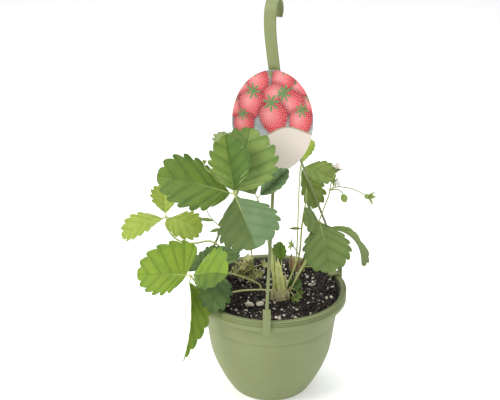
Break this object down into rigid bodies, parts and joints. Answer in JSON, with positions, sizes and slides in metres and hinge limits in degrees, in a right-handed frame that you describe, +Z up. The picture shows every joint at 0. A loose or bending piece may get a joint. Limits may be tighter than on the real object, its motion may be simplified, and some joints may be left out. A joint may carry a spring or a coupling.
{
  "type": "potted strawberry plant",
  "caption": "Strawberry plant with toothed three-part leaves, thin flower stalks and dark soil in a moulded hanging pot with a strap hanger and an oval picture card.",
  "frame": {"origin": "centre of the pot's flat base, on the surface it stands on", "axes": "+Z up, -Y towards the side where the card faces and the front arm of the hanger is, +X to the right seen from there"},
  "size_m": [0.3188, 0.2091, 0.5061],
  "materials": {
    "pot": "satin",
    "soil": "matte",
    "perlite": "matte",
    "card": "satin",
    "leaf_dark": "matte",
    "leaf_mid": "matte",
    "leaf_bright": "matte",
    "stem": "matte",
    "crown": "matte",
    "petal": "matte",
    "eye": "matte"
  },
  "bodies": {
    "root": {"pot": "pot", "soil": "soil", "perlite_0": "perlite", "perlite_1": "perlite", "hanger": "pot", "card": "card", "crown_front": "crown", "crown_right": "crown", "crown_left": "crown", "leaf_front": "leaf_dark", "leaf_far_left": "leaf_bright", "leaf_low_left": "leaf_bright", "leaf_under": "leaf_dark", "leaf_middle": "leaf_mid", "leaf_back": "leaf_mid", "leaf_behind_right": "leaf_bright", "leaf_right": "leaf_mid", "leaf_young": "leaf_mid", "spray_right": "stem", "spray_middle": "stem", "spray_left": "stem", "spray_low": "stem", "petals_open": "petal", "petals_closing": "petal", "eye_open": "eye"}
  },
  "joints": []
}
